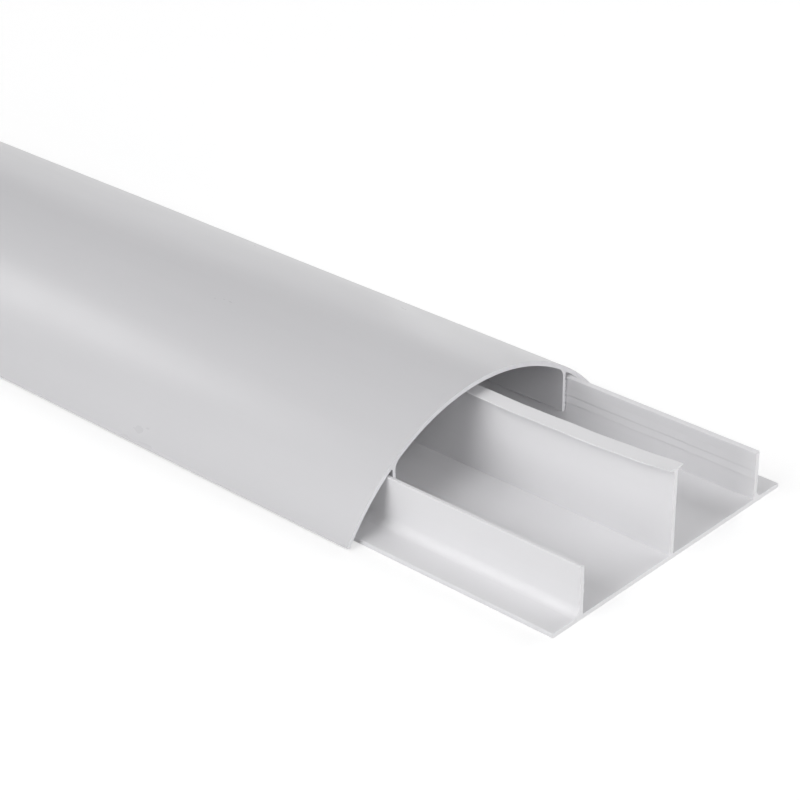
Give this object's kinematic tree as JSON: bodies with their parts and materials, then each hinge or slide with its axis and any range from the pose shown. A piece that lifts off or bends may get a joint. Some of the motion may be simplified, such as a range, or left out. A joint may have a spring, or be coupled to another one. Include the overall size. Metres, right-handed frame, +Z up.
{
  "type": "cable cover",
  "caption": "Surface cable cover in two extruded pieces: a flat base strip with side walls and a capped centre wall, and an arched cover that snaps over it.",
  "frame": {"origin": "centre of the base's flat underside, on the surface it is fixed to", "axes": "+X along the profiles, towards the end where the base stands clear of the cover; +Y across, from the left channel to the right one; +Z up, away from the surface"},
  "size_m": [1.0535, 0.0884, 0.0251],
  "materials": {
    "base_plastic": "satin light grey",
    "cover_plastic": "satin light grey"
  },
  "bodies": {
    "base": {"base": "base_plastic"},
    "cover": {"cover": "cover_plastic"}
  },
  "joints": [
    {"name": "cover_slide", "type": "slide", "parent": "base", "child": "cover", "axis": [1, 0, 0], "range_m": [-0.8965, 1.0035]}
  ]
}
